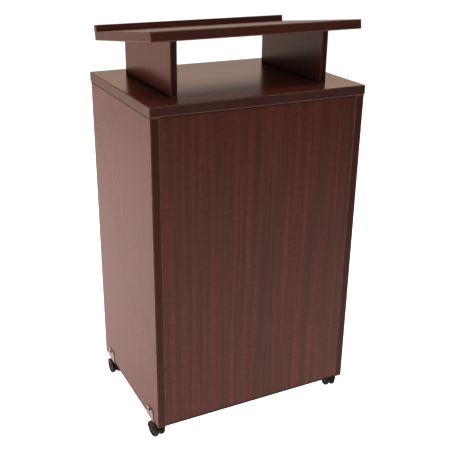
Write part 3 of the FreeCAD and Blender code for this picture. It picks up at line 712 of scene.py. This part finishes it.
class LECTERN_OT_studio(bpy.types.Operator):
    """Sets up the pale floor, the soft lights, the room and the camera"""
    bl_idname = "lectern.studio"
    bl_label = "Set up the studio"

    def execute(self, context):
        sizes = context.scene.lectern_studio
        scene = context.scene
        floor = self.make_floor(sizes)
        white = (1.0, 1.0, 1.0)
        floor_tint, left_tint = sizes.floor_tint, sizes.left_tint
        back_tint, high_back_tint = sizes.back_tint, sizes.high_back_tint
        # name, tint, place, target, width, height, the only object that it lights
        boxes = (
            ("floor_light", floor_tint, (-0.8, 1.4, 3.6), (-0.8, 1.4, 0.0), 3.0, 3.0, floor),
            ("near_floor_light", floor_tint, (0.2, 0.0, 2.0), (0.2, 0.0, 0.0), 1.5, 1.5, floor),
            ("left_light", left_tint, (-2.6, 0.9, 0.45), (0.0, 0.3, 0.45), 3.0, 0.9, None),
            ("left_back_light", left_tint, (-1.6, 3.2, 0.6), (0.0, 0.0, 0.6), 2.0, 1.1, None),
            ("back_light", back_tint, (1.3, 3.2, 1.35), (0.0, 0.0, 1.0), 4.0, 0.9, None),
            ("high_back_light", high_back_tint, (1.3, 3.2, 2.2), (0.0, 0.0, 1.0), 4.0, 0.8, None),
            ("right_light", white, (2.6, 0.3, 1.2), (0.0, 0.0, 0.8), 2.5, 1.6, None),
            ("top_light", white, (-0.8, -1.6, 3.2), (0.0, 0.0, 0.6), 2.0, 2.0, None),
            ("small_top_light", white, (-0.2, -0.7, 3.2), (0.0, -0.2, 1.0), 1.2, 0.5, None),
        )
        for name, *box in boxes:
            self.soft_box(name, getattr(sizes, name), *box)
        self.make_room(scene, sizes)
        self.make_camera(scene, sizes)
        scene.view_settings.view_transform = "Standard"
        return {"FINISHED"}

    @staticmethod
    def make_floor(sizes):
        """A large pale floor with a faint unevenness in its sheen."""
        half = sizes.floor_size / 2
        mesh = bpy.data.meshes.new("studio_floor")
        mesh.from_pydata([(-half, -half, 0), (half, -half, 0), (half, half, 0), (-half, half, 0)], [],
                         [(0, 1, 2, 3)])
        material, tree, shader = new_material("pale_floor", Specular_IOR_Level=0.2)
        vector = object_vector(tree)
        mottle = noise(tree, vector, (1.5, 1.5, 1.5), 3.0, 0.5)
        darker = tuple(part * 0.985 for part in sizes.floor_tone)
        base = mix_colour(tree, mottle, tuple(sizes.floor_tone), darker)
        finish_shader(tree, shader, base, spread(tree, mottle, 0.3, 0.7, 0.75, 0.85))
        # the floor glows to the camera alone, so that it looks white and lights nothing
        path = tree.nodes.new("ShaderNodeLightPath")
        glow = add(tree, "ShaderNodeEmission", {"Strength": math_node(
            tree, "MULTIPLY", path.outputs["Is Camera Ray"], sizes.floor_glow)})
        both = add(tree, "ShaderNodeAddShader", {0: shader.outputs[0], 1: glow.outputs[0]})
        output = next(node for node in tree.nodes if node.type == "OUTPUT_MATERIAL")
        tree.links.new(both.outputs[0], output.inputs[0])
        mesh.materials.append(material)
        floor = bpy.data.objects.new("studio_floor", mesh)
        bpy.context.scene.collection.objects.link(floor)
        return floor

    @staticmethod
    def soft_box(name, strength, tint, place, target, width, height, only):
        """A rectangular soft box that the camera doesn't see; it may light a single object."""
        lamp = bpy.data.lights.new(name, "AREA")
        lamp.shape = "RECTANGLE"
        lamp.size = width
        lamp.size_y = height
        lamp.color = tint
        # this power gives the face of the lamp the radiance of its strength
        lamp.energy = strength * math.pi * width * height
        box = bpy.data.objects.new(name, lamp)
        box.location = place
        box.rotation_euler = (Vector(target) - Vector(place)).to_track_quat("-Z", "Y").to_euler()
        box.visible_camera = False
        bpy.context.scene.collection.objects.link(box)
        if only is not None:
            lit = bpy.data.collections.new(f"{name}_lights")
            lit.objects.link(only)
            box.light_linking.receiver_collection = lit
            box.light_linking.blocker_collection = lit

    @staticmethod
    def make_room(scene, sizes):
        """A white room that is bright to look at and dim as a light."""
        world = bpy.data.worlds.new("studio_room")
        world.use_nodes = True
        tree = world.node_tree
        tree.nodes.clear()
        lit = add(tree, "ShaderNodeBackground", {"Color": (1, 1, 1, 1), "Strength": sizes.ambient})
        seen = add(tree, "ShaderNodeBackground", {"Color": (1, 1, 1, 1), "Strength": 1.0})
        path = tree.nodes.new("ShaderNodeLightPath")
        mixed = add(tree, "ShaderNodeMixShader", {0: path.outputs["Is Camera Ray"], 1: lit.outputs[0],
                                                  2: seen.outputs[0]})
        output = tree.nodes.new("ShaderNodeOutputWorld")
        tree.links.new(mixed.outputs[0], output.inputs[0])
        scene.world = world

    @staticmethod
    def make_camera(scene, sizes):
        """The camera, from its azimuth, pitch and roll."""
        azimuth, pitch, roll = sizes.camera_azimuth, sizes.camera_pitch, sizes.camera_roll
        backward = Vector((math.sin(azimuth) * math.cos(pitch), -math.cos(azimuth) * math.cos(pitch),
                           math.sin(pitch)))
        right = (-backward).cross(Vector((0, 0, 1))).normalized()
        upward = right.cross(-backward)
        turned_right = right * math.cos(roll) + upward * math.sin(roll)
        turned_up = upward * math.cos(roll) - right * math.sin(roll)
        axes = Matrix((turned_right, turned_up, backward)).transposed()
        lens = bpy.data.cameras.new("studio_camera")
        lens.lens = sizes.lens
        lens.sensor_width = 36.0
        camera = bpy.data.objects.new("studio_camera", lens)
        camera.matrix_world = Matrix.Translation(Vector(sizes.camera_place)) @ axes.to_4x4()
        scene.collection.objects.link(camera)
        scene.camera = camera


class LECTERN_PT_sidebar(bpy.types.Panel):
    """Lists the steps of the lectern with their sizes and colours"""
    bl_idname = "LECTERN_PT_sidebar"
    bl_label = "Lectern podium"
    bl_space_type = "VIEW_3D"
    bl_region_type = "UI"
    bl_category = "Lectern"

    def draw(self, context):
        for group, steps in GROUPS:
            box = self.layout.box()
            settings = getattr(context.scene, group)
            for name in settings.__annotations__:
                box.prop(settings, name)
            for step in steps:
                box.operator(step.bl_idname)


GROUPS = (
    ("lectern_laminate", (LECTERN_OT_panels, LECTERN_OT_edge_strips)),
    ("lectern_hardware", (LECTERN_OT_fittings, LECTERN_OT_cam_faces, LECTERN_OT_casters)),
    ("lectern_studio", (LECTERN_OT_studio,)),
)
SETTINGS = {"lectern_laminate": LecternLaminate, "lectern_hardware": LecternHardware,
            "lectern_studio": LecternStudio}


def register():
    """Registers the settings, the operators and the panel."""
    for name, settings in SETTINGS.items():
        bpy.utils.register_class(settings)
        setattr(bpy.types.Scene, name, PointerProperty(type=settings))
    for group, steps in GROUPS:
        for step in steps:
            bpy.utils.register_class(step)
    bpy.utils.register_class(LECTERN_PT_sidebar)


def unregister():
    """Takes away everything that register added."""
    bpy.utils.unregister_class(LECTERN_PT_sidebar)
    for group, steps in reversed(GROUPS):
        for step in reversed(steps):
            bpy.utils.unregister_class(step)
    for name, settings in reversed(SETTINGS.items()):
        delattr(bpy.types.Scene, name)
        bpy.utils.unregister_class(settings)


def main():
    """Makes the whole scene."""
    register()
    bpy.ops.lectern.panels()
    bpy.ops.lectern.edge_strips()
    bpy.ops.lectern.fittings()
    bpy.ops.lectern.cam_faces()
    bpy.ops.lectern.casters()
    bpy.ops.lectern.studio()


if __name__ == "__main__":
    main()
